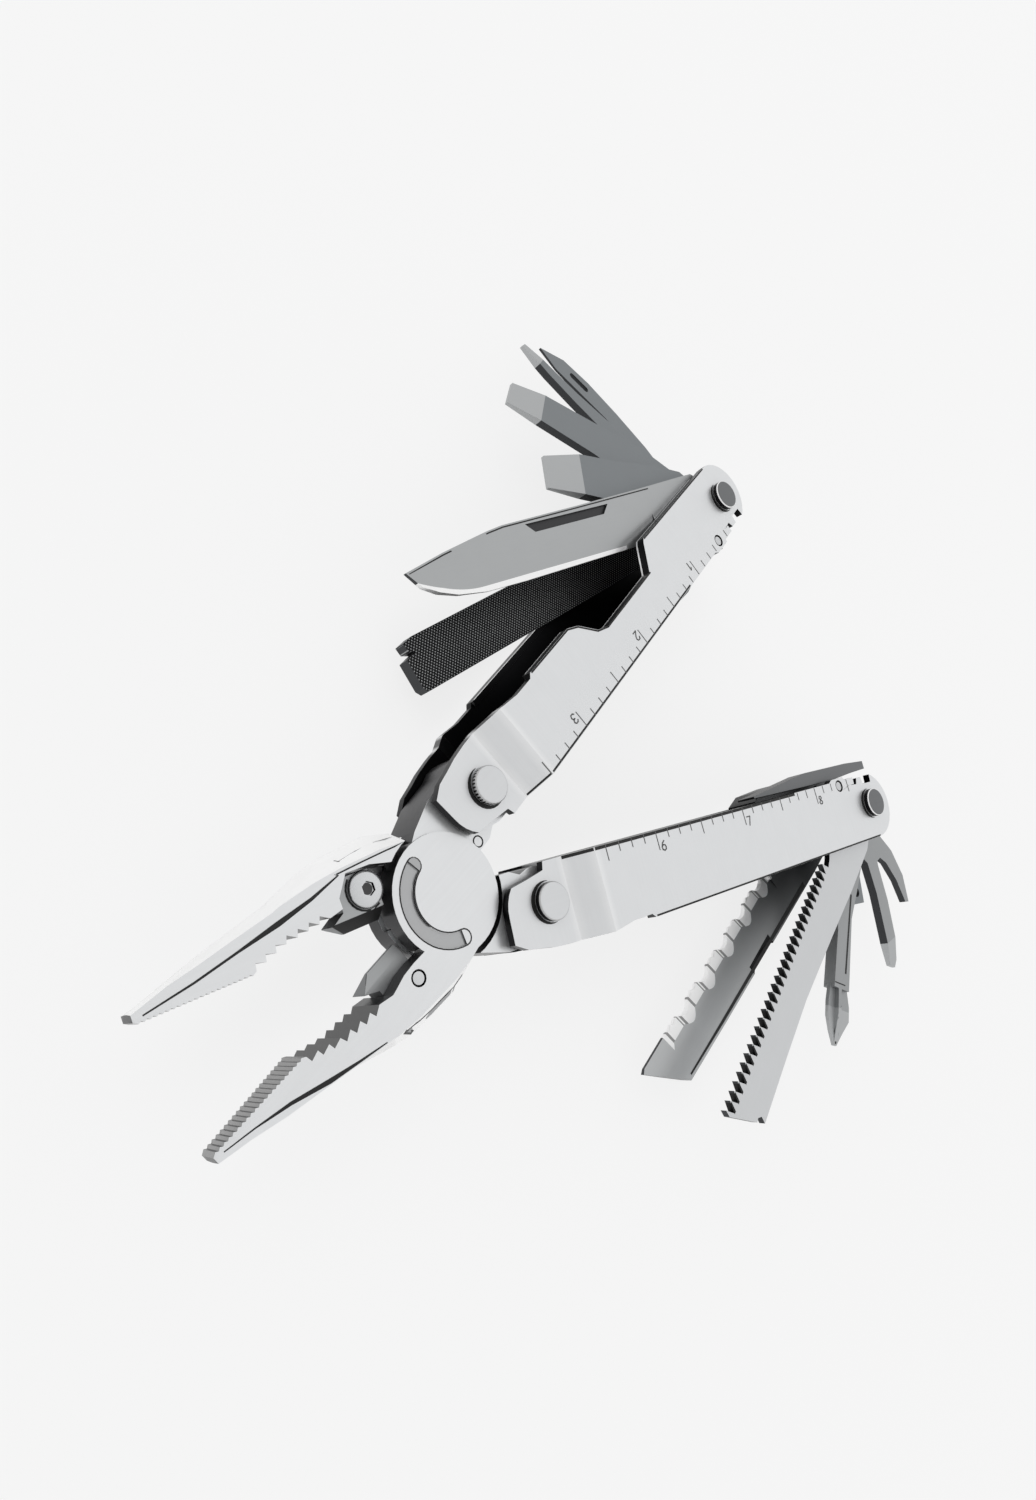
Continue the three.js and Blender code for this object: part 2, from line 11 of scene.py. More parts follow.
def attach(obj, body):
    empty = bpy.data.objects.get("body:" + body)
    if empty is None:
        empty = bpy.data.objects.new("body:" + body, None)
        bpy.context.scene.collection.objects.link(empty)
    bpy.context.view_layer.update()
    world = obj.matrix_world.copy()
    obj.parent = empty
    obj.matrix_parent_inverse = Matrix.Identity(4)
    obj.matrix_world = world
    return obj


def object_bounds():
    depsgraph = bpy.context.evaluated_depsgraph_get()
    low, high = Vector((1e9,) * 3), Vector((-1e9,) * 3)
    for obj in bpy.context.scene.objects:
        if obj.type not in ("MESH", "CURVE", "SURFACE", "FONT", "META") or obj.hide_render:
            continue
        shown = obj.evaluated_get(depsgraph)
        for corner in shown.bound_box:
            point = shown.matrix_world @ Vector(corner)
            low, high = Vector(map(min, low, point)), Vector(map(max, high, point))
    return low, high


MM = 0.001

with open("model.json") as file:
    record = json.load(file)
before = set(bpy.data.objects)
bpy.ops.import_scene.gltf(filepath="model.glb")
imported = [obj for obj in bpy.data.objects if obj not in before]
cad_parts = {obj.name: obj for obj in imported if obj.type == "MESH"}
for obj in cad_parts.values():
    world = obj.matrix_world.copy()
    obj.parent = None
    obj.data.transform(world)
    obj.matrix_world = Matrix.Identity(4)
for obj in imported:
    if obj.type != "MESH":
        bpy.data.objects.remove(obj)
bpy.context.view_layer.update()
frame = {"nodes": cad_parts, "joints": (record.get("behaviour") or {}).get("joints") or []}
joints = {joint["name"]: joint for joint in frame["joints"]}

# ---------------------------------------------------------------- local frames


def joint_point(name):
    return Vector(joints[name]["pos_m"])


def frame_at(origin, along, axis_z):
    """Matrix from millimetres in a part's own frame to metres in the row frame."""
    x = along.normalized()
    z = Vector(axis_z)
    y = z.cross(x)
    basis = Matrix((x, y, z)).transposed().to_4x4()
    return Matrix.Translation(origin) @ basis @ Matrix.Scale(MM, 4)


HALVES = {
    "front": [
        "knife_blade", "large_screwdriver", "medium_screwdriver", "small_screwdriver", "awl", "file",
    ],
    "rear": [
        "serrated_blade", "can_opener", "stubby_screwdriver", "lanyard_eye", "cross_screwdriver", "saw",
    ],
}
JAW_OPEN = {"front": math.radians(12.5), "rear": math.radians(10)}
FRAMES = {}
for label, tools in HALVES.items():
    up = Vector((0, 0, 1 if label == "front" else -1))
    head_pin = joint_point(label + "_handle_fold")
    tool_pin = joint_point(tools[0] + "_swing")
    along = (tool_pin - head_pin).normalized()
    FRAMES[label + "_handle"] = frame_at(head_pin, along, up)
    jaw_line = Matrix.Rotation(JAW_OPEN[label] * up.z, 3, "Z") @ Vector((1, 0, 0))
    FRAMES[label + "_jaw"] = frame_at(joint_point("jaw_pivot"), jaw_line, up)
    for tool in tools:
        folded = math.radians(180 + joints[tool + "_swing"]["range_deg"][0])
        direction = Matrix.Rotation(folded * up.z, 3, "Z") @ along
        FRAMES[tool] = frame_at(tool_pin, direction, up)

# ---------------------------------------------------------------- materials


class Graph:
    """A material's node tree, with short calls for the nodes used here."""

    def __init__(self, name):
        self.material = bpy.data.materials.new(name)
        self.material.use_nodes = True
        self.tree = self.material.node_tree
        self.shader = self.tree.nodes["Principled BSDF"]

    def node(self, kind, inputs=None, **settings):
        made = self.tree.nodes.new(kind)
        for key, value in settings.items():
            setattr(made, key, value)
        for key, value in (inputs or {}).items():
            self.feed(made.inputs[key], value)
        return made

    def feed(self, socket, value):
        if isinstance(value, bpy.types.NodeSocket):
            self.tree.links.new(value, socket)
        else:
            socket.default_value = value

    def math(self, operation, *values):
        made = self.node("ShaderNodeMath", operation=operation)
        for socket, value in zip(made.inputs, values):
            self.feed(socket, value)
        return made.outputs[0]

    def mix(self, factor, low, high):
        made = self.node("ShaderNodeMix", data_type="RGBA")
        self.feed(made.inputs["Factor"], factor)
        for socket, value in ((made.inputs[6], low), (made.inputs[7], high)):
            self.feed(socket, (*value, 1) if isinstance(value, tuple) else value)
        return made.outputs[2]

    def local(self, matrix):
        """Position in a part's own frame, in millimetres."""
        position = self.node("ShaderNodeTexCoord").outputs["Object"]
        place, turn, _ = matrix.decompose()
        return self.node(
            "ShaderNodeMapping",
            {"Vector": position, "Location": place, "Rotation": turn.to_euler(), "Scale": (MM, MM, MM)},
            vector_type="TEXTURE",
        ).outputs[0]

    def facing(self, axis):
        """How far the surface looks along an axis of the part's own frame, -1 to 1."""
        normal = self.node("ShaderNodeTexCoord").outputs["Normal"]
        way = tuple(axis.to_3d().normalized())
        made = self.node("ShaderNodeVectorMath", operation="DOT_PRODUCT")
        self.feed(made.inputs[0], normal)
        self.feed(made.inputs[1], way)
        return made.outputs["Value"]

    def axes(self, vector):
        return self.node("ShaderNodeSeparateXYZ", {"Vector": vector}).outputs

    def stretched_noise(self, vector, scale, detail=2.0):
        spread = self.node("ShaderNodeMapping", {"Vector": vector, "Scale": scale}).outputs[0]
        return self.node(
            "ShaderNodeTexNoise", {"Vector": spread, "Scale": 1.0, "Detail": detail}
        ).outputs["Fac"]

    def both(self, *values):
        result = values[0]
        for value in values[1:]:
            result = self.math("MULTIPLY", result, value)
        return result

    def between(self, value, low, high):
        return self.both(self.math("GREATER_THAN", value, low), self.math("LESS_THAN", value, high))

    def stripes(self, value, period, part):
        """1 over the first part of every period, else 0."""
        phase = self.math("FRACT", self.math("DIVIDE", value, period))
        return self.math("LESS_THAN", phase, part)

    def ramp(self, value, low, high):
        """value from low to high becomes 0 to 1."""
        made = self.node("ShaderNodeMapRange", {"Value": value, "From Min": low, "From Max": high})
        return made.outputs[0]


GRAIN_STRENGTH = 0.05
GRAIN_HEIGHT = 0.05  # millimetres


def steel(name, matrix, face, side, roughness, grain=(0.05, 2.0, 2.0), mottle=0.06, inside_shade=None,
          metallic=0.85, rim=None, accents=()):
    """Brushed or blasted steel. face colours the flats across the pivot axis and side paints shade on the
    edges that run along it, standing for the dark they mirror; rim paints a highlight or shade on the
    rounded corners between them and inside_shade paints shade on the flats that look towards the mid-plane.
    Each accent is a colour and a call that gives where it shows."""
    g = Graph(name)
    place = g.local(matrix)
    normal_z = g.axes(g.node("ShaderNodeTexCoord").outputs["Normal"])[2]
    flat = g.ramp(g.math("ABSOLUTE", normal_z), 0.25, 0.6)
    # Painted shade: the edges that run along the pivot axis take the side colour.
    colour = g.mix(flat, side, face)
    x, y, z = g.axes(place)
    facing = [g.facing(matrix.col[axis]) for axis in (0, 1)] + [normal_z]
    # Painted highlight or shade on the rounded corners.
    if rim is not None:
        upright = g.math("ABSOLUTE", normal_z)
        corner = g.both(g.math("GREATER_THAN", upright, 0.3), g.math("LESS_THAN", upright, 0.8))
        colour = g.mix(corner, colour, rim)
    for tint, where in accents:
        colour = g.mix(where(g, x, y, z, facing), colour, tint)
    # Painted shade on the flats that look towards the mid-plane.
    if inside_shade is not None:
        height = g.axes(g.node("ShaderNodeTexCoord").outputs["Object"])[2]
        above = g.math("SUBTRACT", height, matrix.translation.z)
        outwards = g.math("MULTIPLY", g.math("SIGN", above), normal_z)
        colour = g.mix(g.math("LESS_THAN", outwards, -0.3), colour, inside_shade)
    streaks = g.stretched_noise(place, grain, 4.0)
    clouds = g.stretched_noise(place, (0.25, 0.25, 0.25), 3.0)
    shade = g.math("ADD", g.math("MULTIPLY", streaks, mottle), g.math("MULTIPLY", clouds, mottle * 0.6))
    shade = g.math("ADD", shade, 1 - mottle * 0.8)
    toned = g.node("ShaderNodeVectorMath", operation="SCALE")
    g.feed(toned.inputs[0], colour)
    g.feed(toned.inputs["Scale"], shade)
    g.feed(g.shader.inputs["Base Color"], toned.outputs[0])
    g.shader.inputs["Metallic"].default_value = metallic
    rough = g.math("ADD", g.math("MULTIPLY", streaks, 0.12), roughness - 0.06)
    g.feed(g.shader.inputs["Roughness"], rough)
    bump = g.node(
        "ShaderNodeBump", {"Height": streaks, "Strength": GRAIN_STRENGTH, "Distance": GRAIN_HEIGHT * MM}
    )
    g.feed(g.shader.inputs["Normal"], bump.outputs[0])
    return g


def dress(node, graph):
    """Gives a CAD node its material."""
    thing = frame["nodes"][node]
    thing.data.materials.clear()
    thing.data.materials.append(graph.material)
    return thing


def soften(thing, width):
    """Rounds a node's edges by width, in millimetres, and shades its flats flat."""
    weld = thing.modifiers.new("weld", "WELD")
    weld.merge_threshold = 0.002 * MM
    bevel = thing.modifiers.new("bevel", "BEVEL")
    bevel.width = width * MM
    bevel.segments = 2
    bevel.limit_method = "ANGLE"
    bevel.angle_limit = math.radians(28)
    thing.modifiers.new("smooth", "NODES").node_group = smooth_group()
    flats = thing.modifiers.new("flats", "WEIGHTED_NORMAL")
    flats.keep_sharp = True
    flats.weight = 100


def smooth_group():
    """Geometry nodes that shade everything smooth except along sharp edges."""
    known = bpy.data.node_groups.get("smooth_by_angle")
    if known:
        return known
    group = bpy.data.node_groups.new("smooth_by_angle", "GeometryNodeTree")
    group.interface.new_socket("Geometry", in_out="INPUT", socket_type="NodeSocketGeometry")
    group.interface.new_socket("Geometry", in_out="OUTPUT", socket_type="NodeSocketGeometry")
    start = group.nodes.new("NodeGroupInput")
    end = group.nodes.new("NodeGroupOutput")
    smooth = group.nodes.new("GeometryNodeSetShadeSmooth")
    sharp = group.nodes.new("GeometryNodeSetShadeSmooth")
    sharp.domain = "EDGE"
    sharp.inputs["Shade Smooth"].default_value = False
    angle = group.nodes.new("GeometryNodeInputMeshEdgeAngle")
    compare = group.nodes.new("FunctionNodeCompare")
    compare.operation = "GREATER_THAN"
    compare.inputs["B"].default_value = math.radians(32)
    links = group.links
    links.new(angle.outputs["Unsigned Angle"], compare.inputs["A"])
    links.new(compare.outputs["Result"], sharp.inputs["Selection"])
    links.new(start.outputs[0], smooth.inputs["Geometry"])
    links.new(smooth.outputs[0], sharp.inputs["Geometry"])
    links.new(sharp.outputs[0], end.inputs[0])
    return group


LIGHT_SATIN = (0.74, 0.75, 0.76)
JAW_SATIN = (0.78, 0.79, 0.80)
# BRIGHT is the colour of painted highlights, DARK_SIDE and NEAR_BLACK of painted shade.
BRIGHT = (0.93, 0.93, 0.93)
DARK_SIDE = (0.05, 0.052, 0.055)
NEAR_BLACK = (0.006, 0.006, 0.007)
BLASTED = (0.24, 0.255, 0.265)
LIGHT_BLASTED = (0.36, 0.37, 0.375)
GROUND = (0.46, 0.47, 0.475)
BLADE = (0.42, 0.43, 0.435)
ARC_FLOOR = (0.45, 0.455, 0.46)

# sizes in millimetres, each in its part's own frame
PIN_SPAN = 95.3
CUTTER_SCREW = -12.4, -5.2
SCALLOP_PITCH = 9.1
SCALLOP_CENTRE = 66.1
TOOTH_PITCH = 1.968
FLAT = 0.9  # how squarely a surface faces the pivot axis to count as a flat


def knife_bevel_highlight(g, x, y, z, facing):
    """Band honed along the knife's edge, following it up to the point, painted bright as a highlight."""
    run = g.math("DIVIDE", g.math("MAXIMUM", g.math("SUBTRACT", x, 72), 0.0), 13.9)
    edge = g.math("SUBTRACT", 3.75, g.math("MULTIPLY", g.math("MULTIPLY", run, run), 3.85))
    return g.both(g.math("GREATER_THAN", y, edge), g.math("GREATER_THAN", x, 32.5))


def nail_slot_shade(g, x, y, z, facing):
    """Painted shade in the slot for a thumbnail, along the knife's back."""
    lip = g.math("ADD", g.math("MULTIPLY", x, 0.01), -3.35)
    flat = g.math("GREATER_THAN", g.math("ABSOLUTE", facing[2]), FLAT)
    return g.both(g.between(x, 34.4, 57.6), g.math("LESS_THAN", y, lip), g.between(z, 6.2, 7.0), flat)


def scallop_bevel_highlight(g, x, y, z, facing):
    """Ground hollows of the serrated edge, painted bright as a highlight: wide ones with a narrow pair
    between.
    """
    run = g.math("SUBTRACT", x, SCALLOP_CENTRE)
    swing = g.math("COSINE", g.math("MULTIPLY", run, 2 * math.pi / SCALLOP_PITCH))
    depth = g.math("MULTIPLY", g.math("MAXIMUM", swing, 0.0), 1.3)
    return g.both(g.math("GREATER_THAN", y, g.math("SUBTRACT", 2.2, depth)), g.between(x, 25.5, 74))


def scallop_ridge_shade(g, x, y, z, facing):
    """Painted shade as a dark line down each hollow's border."""
    phase = g.math("FRACT", g.math("DIVIDE", g.math("SUBTRACT", x, SCALLOP_CENTRE + 2.4), SCALLOP_PITCH))
    near = g.math("LESS_THAN", g.math("PINGPONG", g.math("MULTIPLY", phase, 4.3), 1.0), 0.14)
    return g.both(near, scallop_bevel_highlight(g, x, y, z, facing))


def spine_nick_shade(g, x, y, z, facing):
    """Painted shade in a long shallow nick in the serrated blade's back."""
    return g.both(g.between(x, 36.6, 46.5), g.math("LESS_THAN", y, -4.1), g.math("LESS_THAN", z, 5.35))


def blade_shadow(g, x, y, z, facing):
    """Darker towards the tang, as in a blade that mirrors the body beside it."""
    return g.math("MULTIPLY", g.math("SUBTRACT", 1.0, g.ramp(x, 14, 66)), 0.93)


def crosshatch(g, x, y, z, facing):
    """Fine crossed cuts that leave rows of bright points."""
    slant = g.math("MULTIPLY", y, 0.9)
    one = g.stripes(g.math("ADD", x, slant), 0.72, 0.42)
    two = g.stripes(g.math("SUBTRACT", x, slant), 0.72, 0.42)
    return g.both(one, two, g.math("GREATER_THAN", x, 16))


def tooth_facet_shade(g, x, y, z, facing):
    """Painted shade on alternate facets ground across the saw's teeth."""
    lean = g.math("ADD", x, g.math("MULTIPLY", y, 0.4))
    return g.both(g.stripes(g.math("SUBTRACT", lean, 0.5), TOOTH_PITCH, 0.3), g.between(y, 2.3, 4.1),
                  g.between(x, 24, 81))


def tip_from(start):
    """Facet ground at a driver's tip."""
    def where(g, x, y, z, facing):
        return g.math("GREATER_THAN", x, start)
    return where


def bend_highlight(g, x, y, z, facing):
    """Painted highlight across the two bends of the wall."""
    from_middle = g.math("ABSOLUTE", g.math("SUBTRACT", x, 7.0))
    near = g.math("ABSOLUTE", g.math("SUBTRACT", from_middle, 2.4))
    return g.math("MULTIPLY", g.math("SUBTRACT", 1.0, g.ramp(near, 0.1, 1.3)), 0.8)


def lip_highlight(g, x, y, z, facing):
    """Painted highlight: a thin bright line on the turned-in open edge, at its inner corner."""
    return g.both(g.between(g.math("ABSOLUTE", z), 7.35, 7.8), g.between(x, 20, 92),
                  g.math("GREATER_THAN", y, 1.2), g.math("GREATER_THAN", facing[1], -0.2))


def jaw_back_highlight(g, x, y, z, facing):
    """Painted highlight on the crowned back of the jaw."""
    return g.both(g.math("LESS_THAN", facing[1], -0.25), g.math("LESS_THAN", x, -1),
                  g.math("LESS_THAN", y, -1), g.math("LESS_THAN", g.math("ABSOLUTE", facing[2]), FLAT))


def tooth_flank_shade(g, x, y, z, facing):
    """Painted shade on the jaw's teeth: their flanks on the side away from the rivet are dark."""
    return g.both(g.math("LESS_THAN", facing[0], -0.2), g.math("GREATER_THAN", facing[1], 0.1),
                  g.between(x, -47.5, -18), g.math("LESS_THAN", g.math("ABSOLUTE", facing[2]), 0.3))


def fine_teeth_shade(g, x, y, z, facing):
    """Lighter painted shade on the finer teeth near the jaw's tip."""
    return g.both(tooth_flank_shade(g, x, y, z, facing), g.math("LESS_THAN", x, -31.9))


def arc_floor(g, x, y, z, facing):
    """Floor of the arc cut into the disc."""
    radius = g.math("SQRT", g.math("ADD", g.math("MULTIPLY", x, x), g.math("MULTIPLY", y, y)))
    return g.both(g.between(radius, 5.9, 8.2), g.between(z, 3.8, 4.1),
                  g.math("GREATER_THAN", g.math("ABSOLUTE", facing[2]), FLAT))


def screw_socket_shade(g, x, y, z, facing):
    """Painted shade in the socket in the head of a cutter's screw."""
    over = g.math("SUBTRACT", x, CUTTER_SCREW[0])
    up = g.math("SUBTRACT", y, CUTTER_SCREW[1])
    radius = g.math("SQRT", g.math("ADD", g.math("MULTIPLY", over, over), g.math("MULTIPLY", up, up)))
    return g.both(g.math("LESS_THAN", radius, 0.9), g.math("LESS_THAN", z, 0.0))


def knurl_shade(g, x, y, z, facing):
    """Painted shade in stripes for the upright ridges round a pin's head."""
    turn = g.math("ARCTAN2", y, x)
    return g.both(g.stripes(turn, 2 * math.pi / 34, 0.5),
                  g.math("LESS_THAN", g.math("ABSOLUTE", facing[2]), 0.3))


# Painted highlight or shade on the rounded corners of each part; the cutter's screw gets none.
RIMS = {
    "_cutter_screw": None,
    "_tool_pin": BRIGHT,
    "_head_pin": (0.5, 0.5, 0.5),
    "_lock_pin": (0.02, 0.02, 0.02),
}
for label in HALVES:
    handle = FRAMES[label + "_handle"]
    jaw = FRAMES[label + "_jaw"]
    # The handle's edges, rounded corners and inner walls take painted shade; its bends and open edge take
    # painted highlights.
    body = steel(label + "_handle_steel", handle, LIGHT_SATIN, NEAR_BLACK, 0.36, (3.0, 0.08, 0.3),
                 inside_shade=NEAR_BLACK, rim=(0.03, 0.03, 0.031),
                 accents=[((0.84, 0.845, 0.85), bend_highlight), (BRIGHT, lip_highlight)])
    soften(dress(label + "_handle", body), 0.2)
    # The jaw's edges and rounded corners take painted shade, its back a painted highlight, its teeth
    # painted shade.
    head = steel(label + "_jaw_steel", jaw, JAW_SATIN, (0.04, 0.04, 0.042), 0.32, rim=(0.06, 0.06, 0.06),
                 accents=[(BRIGHT, jaw_back_highlight), ((0.1, 0.1, 0.1), tooth_flank_shade), ((0.3, 0.3, 0.3), fine_teeth_shade),
                          (ARC_FLOOR, arc_floor)])
    soften(dress(label + "_jaw", head), 0.12)
    for part, colour, rough, shown in (
        ("_cutter", (0.42, 0.43, 0.435), 0.45, ()),
        ("_cutter_screw", (0.66, 0.67, 0.68), 0.25, [((0.07, 0.07, 0.07), screw_socket_shade)]),
        ("_head_pin", (0.68, 0.69, 0.70), 0.34, [((0.5, 0.5, 0.5), knurl_shade)] if label == "front" else ()),
        ("_tool_pin", (0.17, 0.175, 0.18), 0.45, ()),
        ("_lock_rocker", (0.17, 0.175, 0.18), 0.4, ()),
        ("_lock_pin", (0.6, 0.61, 0.62), 0.3, ()),
        ("_lock_spring", (0.4, 0.41, 0.42), 0.35, ()),
    ):
        # Painted shade on the edges: lighter on the cutter, near-black on the screw, pins and lock parts.
        edge = (0.22, 0.225, 0.23) if part == "_cutter" else NEAR_BLACK
        graph = steel(label + part + "_steel", jaw if "cutter" in part else handle, colour, edge,
                      rough, rim=RIMS.get(part, (0.05, 0.05, 0.05)), accents=shown)
        soften(dress(label + part, graph), 0.12)
for node in frame["nodes"]:
    if "_washer_" in node:
        graph = steel(node + "_steel", FRAMES["front_handle"], (0.5, 0.51, 0.52), DARK_SIDE, 0.35)
        soften(dress(node, graph), 0.08)
soften(dress("pivot_rivet", steel("rivet_steel", FRAMES["front_jaw"], JAW_SATIN, DARK_SIDE, 0.3)), 0.2)

FINE = (0.2, 2.0, 2.0)
ROUGH = (2.2, 2.2, 2.2)
for tool, colour, rough, grain, shown in (
    ("knife_blade", BLADE, 0.36, FINE,
     [(BRIGHT, knife_bevel_highlight), ((0.05, 0.05, 0.052), nail_slot_shade)]),
    ("serrated_blade", (0.5, 0.51, 0.515), 0.36, FINE,
     [((0.03, 0.031, 0.033), blade_shadow), (BRIGHT, scallop_bevel_highlight), ((0.3, 0.3, 0.3), scallop_ridge_shade),
      (NEAR_BLACK, spine_nick_shade)]),
    ("saw", (0.62, 0.63, 0.64), 0.4, FINE, [((0.02, 0.02, 0.02), tooth_facet_shade)]),
    ("file", (0.012, 0.012, 0.013), 0.5, FINE, [((0.34, 0.35, 0.35), crosshatch)]),
    ("large_screwdriver", BLASTED, 0.5, ROUGH, [(GROUND, tip_from(36.2))]),
    ("medium_screwdriver", BLASTED, 0.5, ROUGH, [(GROUND, tip_from(44.1))]),
    ("small_screwdriver", BLASTED, 0.5, ROUGH, [(GROUND, tip_from(46.8))]),
    ("awl", BLASTED, 0.5, ROUGH, ()),
    ("can_opener", LIGHT_BLASTED, 0.5, ROUGH, ()),
    ("stubby_screwdriver", LIGHT_BLASTED, 0.5, ROUGH, [(GROUND, tip_from(33.4))]),
    ("lanyard_eye", BLASTED, 0.5, ROUGH, ()),
    ("cross_screwdriver", LIGHT_BLASTED, 0.5, ROUGH, [(GROUND, tip_from(46))]),
):
    # Painted shade on the tools' edges and rounded corners, lighter on the cross driver and the file.
    edge = (0.3, 0.31, 0.315) if tool == "cross_screwdriver" else DARK_SIDE
    graph = steel(tool + "_steel", FRAMES[tool], colour, edge, rough, grain, accents=shown,
                  rim={"file": (0.3, 0.3, 0.3), "knife_blade": BLADE}.get(tool, (0.06, 0.062, 0.065)))
    soften(dress(tool, graph), 0.17)

# ---------------------------------------------------------------- marks on the faces

trees = {}
PROBE = 30  # height that a ray towards a face starts from
DEEPEST_STEP = 5  # a mark never drops further than this below the highest face it lies on


def height_over(node, matrix, x, y, side):
    """Height of a node's outer face over a point of its own frame, or None beside it."""
    if node not in trees:
        thing = frame["nodes"][node]
        corners = [thing.matrix_world @ corner.co for corner in thing.data.vertices]
        trees[node] = BVHTree.FromPolygons(corners, [list(p.vertices) for p in thing.data.polygons])
    start = matrix @ Vector((x, y, PROBE * side))
    way = (matrix.to_3x3() @ Vector((0, 0, -side))).normalized()
    hit, _, _, distance = trees[node].ray_cast(start, way)
    return None if hit is None else side * (PROBE - distance / MM)


def lay_on(name, node, body, matrix, side, strips, graph, lift=0.03):
    """Thin strips laid on a node's face. Each strip is a run of point pairs. Where the face is
    cut away the strip stops, and doesn't cross to the wall behind."""
    laid = []
    for strip in strips:
        rows = []
        for pair in strip:
            heights = [height_over(node, matrix, px, py, side) for px, py in pair]
            if None not in heights:
                rows.append([(px, py, h + side * lift) for (px, py), h in zip(pair, heights)])
        laid.append(rows)
    floor_of_mark = max(side * z for rows in laid for row in rows for _, _, z in row) - DEEPEST_STEP
    verts = []
    faces = []
    for rows in laid:
        rows = [row for row in rows if min(side * z for _, _, z in row) > floor_of_mark]
        for i in range(len(rows) - 1):
            start = len(verts)
            verts += [matrix @ Vector(p) for p in (*rows[i], *reversed(rows[i + 1]))]
            faces.append([start, start + 1, start + 2, start + 3])
    data = bpy.data.meshes.new(name)
    data.from_pydata(verts, [], faces)
    piece = bpy.data.objects.new(name, data)
    bpy.context.scene.collection.objects.link(piece)
    data.materials.append(graph.material)
    thick = piece.modifiers.new("thick", "SOLIDIFY")
    thick.thickness = 0.02 * MM
    thick.offset = 0
    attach(piece, body)


def stroke(points, width):
    """A line of the given width along points, as strips that can follow a bent face."""
    strips = []
    for (ax, ay), (bx, by) in zip(points, points[1:]):
        length = math.hypot(bx - ax, by - ay)
        along = (bx - ax) / length, (by - ay) / length
        nx, ny = -along[1] * width / 2, along[0] * width / 2
        steps = max(1, round(length / 1.5))
        strip = []
        for i in range(steps + 1):
            run = -width / 3 + (length + width * 2 / 3) * i / steps
            px, py = ax + along[0] * run, ay + along[1] * run
            strip.append(((px + nx, py + ny), (px - nx, py - ny)))
        strips.append(strip)
    return strips


FIGURES = {
    1: [(0.1, 0.75), (0.35, 1), (0.35, 0)],
    2: [(0, 0.75), (0.1, 0.95), (0.3, 1), (0.5, 0.95), (0.6, 0.75), (0.5, 0.5), (0, 0), (0.6, 0)],
    3: [(0, 0.85), (0.15, 1), (0.45, 1), (0.6, 0.8), (0.5, 0.58), (0.25, 0.52), (0.5, 0.46), (0.6, 0.25),
        (0.45, 0), (0.15, 0), (0, 0.15)],
    6: [(0.5, 1), (0.2, 0.8), (0, 0.4), (0.05, 0.12), (0.3, 0), (0.55, 0.12), (0.6, 0.35), (0.5, 0.55),
        (0.25, 0.6), (0.02, 0.45)],
    7: [(0, 1), (0.6, 1), (0.2, 0)],
    8: [(0.3, 0.53), (0.05, 0.75), (0.15, 0.97), (0.45, 0.97), (0.55, 0.75), (0.3, 0.53), (0, 0.27),
        (0.12, 0.03), (0.48, 0.03), (0.6, 0.27), (0.3, 0.53)],
}
INCH = 25.4
FIGURE_HEIGHT = 1.7
SPINE_EDGE = -6.45


def ruler(label, first_u, first_eighth, way, side):
    """Inch ruler from the spine edge: way is +1 where its figures rise away from the head."""
    node = label + "_handle"
    matrix = FRAMES[node]
    strips = []
    eighth = first_eighth
    while True:
        u = first_u + way * (eighth - first_eighth) / 8 * INCH
        if u > 98 or eighth < 1:
            break
        top = SPINE_EDGE
        while top < -3 and height_over(node, matrix, u, top, side) is None:
            top += 0.2
        long = 3.3 if eighth % 8 == 0 else 2.6 if eighth % 4 == 0 else 1.5
        strips += stroke([(u, top), (u, SPINE_EDGE + long)], 0.17) if top < SPINE_EDGE + long - 0.3 else []
        figure = eighth // 8
        if eighth % 8 == 0 and figure in FIGURES:
            strips += stroke([
                (u + way * (0.7 + fx * FIGURE_HEIGHT), SPINE_EDGE + 3.6 - fy * FIGURE_HEIGHT)
                for fx, fy in FIGURES[figure]
            ], 0.24)
        eighth += way
    lay_on(label + "_ruler", node, node, matrix, side, strips, etched)


def ring(x, y, radius, start=0, end=360, steps=24):
    """Points round a circle, or round part of one, in degrees."""
    return [
        (x + radius * math.cos(math.radians(start + (end - start) * i / steps)),
         y + radius * math.sin(math.radians(start + (end - start) * i / steps)))
        for i in range(steps + 1)
    ]


def taper_line(points, widths):
    """One strip along points whose width changes from point to point."""
    strip = []
    for i, (px, py) in enumerate(points):
        (ax, ay), (bx, by) = points[max(i - 1, 0)], points[min(i + 1, len(points) - 1)]
        length = math.hypot(bx - ax, by - ay)
        nx, ny = -(by - ay) / length * widths[i] / 2, (bx - ax) / length * widths[i] / 2
        strip.append(((px + nx, py + ny), (px - nx, py - ny)))
    return [strip]


ETCHED = (0.12, 0.12, 0.12)
# Colour of the painted shade lines laid on jaws, handles and tools.
SHADE_LINE = (0.01, 0.01, 0.01)
SHOULDER = (0.3, 0.305, 0.31)
etched = steel("etched_marks", FRAMES["front_handle"], ETCHED, ETCHED, 0.6, metallic=0.3)
ruler("front", 9.15, 28, -1, 1)
ruler("rear", 12.0, 44, 1, -1)

